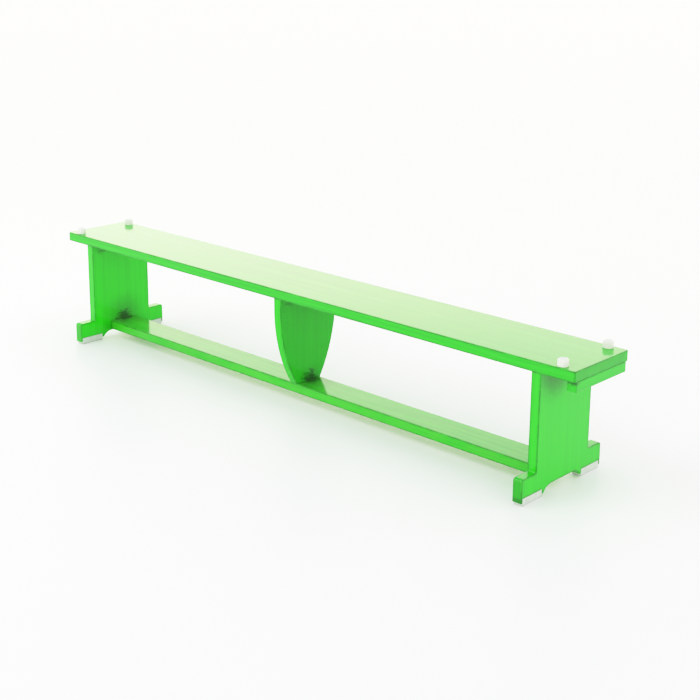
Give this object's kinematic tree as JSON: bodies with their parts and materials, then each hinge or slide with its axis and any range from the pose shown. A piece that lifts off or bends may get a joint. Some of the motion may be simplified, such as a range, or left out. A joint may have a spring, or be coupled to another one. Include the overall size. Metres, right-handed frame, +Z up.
{
  "type": "backless balance bench",
  "caption": "Low backless gymnastics bench of stained wood with a seat plank, a narrow balance rail, board end frames, a curved centre support, a hook batten and rubber feet.",
  "frame": {"origin": "on the floor under the middle of the bench", "axes": "+X along the seat towards the hook end, -Y is the front, +Z up"},
  "size_m": [2, 0.34, 0.371],
  "materials": {
    "stained_wood": "green transparent stain under gloss lacquer, grain showing through",
    "plain_dowel": "plain beech, unfinished",
    "white_buffer": "smooth milky white",
    "pale_pad_rubber": "matt pale grey",
    "screw_steel": "bright zinc"
  },
  "bodies": {
    "root": {"seat_plank": "stained_wood", "balance_rail": "stained_wood", "centre_support": "stained_wood", "hook_batten": "stained_wood", "end_frame_left": "stained_wood", "end_frame_right": "stained_wood", "seat_dowels_left": "plain_dowel", "seat_dowels_centre": "plain_dowel", "seat_dowels_right": "plain_dowel", "rail_dowels_left": "plain_dowel", "rail_dowels_centre": "plain_dowel", "rail_dowels_right": "plain_dowel", "buffer_left_front": "white_buffer", "buffer_left_back": "white_buffer", "buffer_right_front": "white_buffer", "buffer_right_back": "white_buffer", "foot_pad_left_front": "pale_pad_rubber", "foot_pad_left_back": "pale_pad_rubber", "foot_pad_right_front": "pale_pad_rubber", "foot_pad_right_back": "pale_pad_rubber", "buffer_screws": "screw_steel", "batten_screws": "screw_steel", "foot_pad_screws": "screw_steel", "buffer_washers": "screw_steel"}
  },
  "joints": []
}
